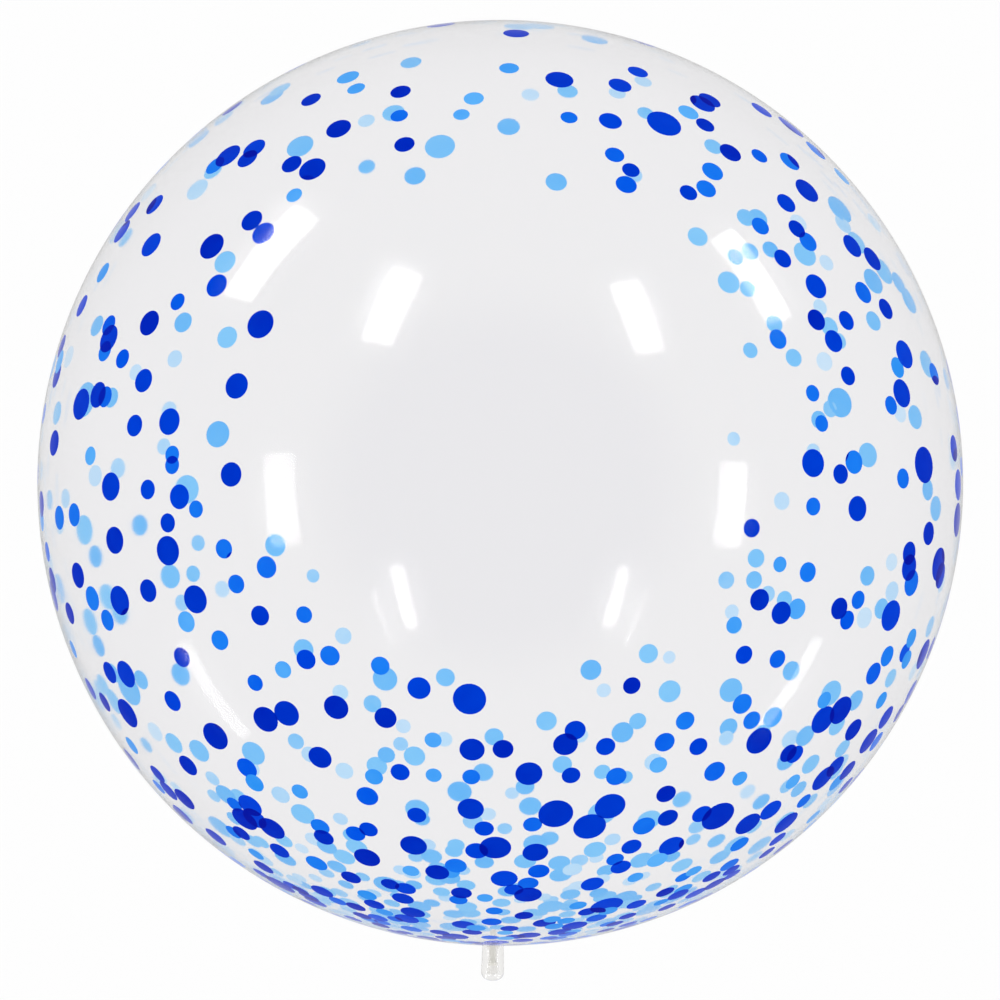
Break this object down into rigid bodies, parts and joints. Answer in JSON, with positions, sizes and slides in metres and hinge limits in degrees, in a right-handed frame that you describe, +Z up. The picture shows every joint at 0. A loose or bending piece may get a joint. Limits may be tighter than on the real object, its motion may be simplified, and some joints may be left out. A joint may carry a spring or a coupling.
{
  "type": "clear bubble balloon",
  "caption": "Round clear film balloon printed with scattered blue dots, blown up tight and sealed, with a short rounded neck. Lies on its side on a small flat spot.",
  "frame": {"origin": "centre of the small flat spot under the sphere, where the balloon lies on the ground", "axes": "+Z up, -Y along the neck, out of its closed end, +X to the right with the neck towards the viewer"},
  "size_m": [0.61, 0.635, 0.6079],
  "materials": {
    "clear_film": "clear glossy stretched film",
    "ink_dark_blue": "translucent printed ink under gloss",
    "ink_mid_blue": "translucent printed ink under gloss",
    "ink_light_blue": "thin translucent printed ink under gloss",
    "valve_plastic": "slightly milky soft plastic"
  },
  "bodies": {
    "root": {"bubble": "clear_film"}
  },
  "joints": []
}
